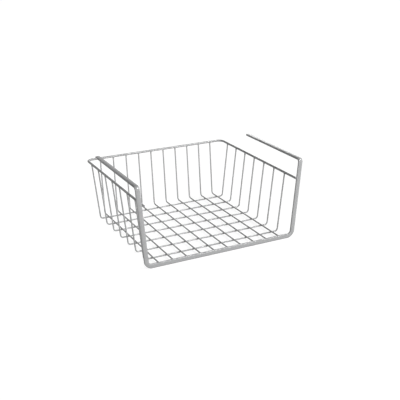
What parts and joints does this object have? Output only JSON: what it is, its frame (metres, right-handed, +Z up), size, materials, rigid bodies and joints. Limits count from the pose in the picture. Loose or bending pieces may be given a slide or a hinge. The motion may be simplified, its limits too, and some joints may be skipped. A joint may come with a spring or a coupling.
{
  "type": "under-shelf wire basket",
  "caption": "Open-fronted wire basket that hangs below a shelf: a bent flat bar forms two arms that lie on the board, and a rim rod carries a welded wire cradle.",
  "frame": {"origin": "middle of the footprint, level with the underside of the front rail and of the floor wires", "axes": "+Z up, +Y from the open front to the back wall, +X to the right seen from the front"},
  "size_m": [0.302, 0.26, 0.14],
  "materials": {
    "frame_coat": "satin silver",
    "wire_coat": "satin silver"
  },
  "bodies": {
    "root": {"front_frame": "frame_coat", "rim_rod": "wire_coat", "long_wire_01": "wire_coat", "long_wire_02": "wire_coat", "long_wire_03": "wire_coat", "long_wire_04": "wire_coat", "long_wire_05": "wire_coat", "long_wire_06": "wire_coat", "long_wire_07": "wire_coat", "long_wire_08": "wire_coat", "long_wire_09": "wire_coat", "long_wire_10": "wire_coat", "cross_wire_1": "wire_coat", "cross_wire_2": "wire_coat", "cross_wire_3": "wire_coat", "cross_wire_4": "wire_coat", "cross_wire_5": "wire_coat", "cross_wire_6": "wire_coat", "cross_wire_7": "wire_coat"}
  },
  "joints": []
}
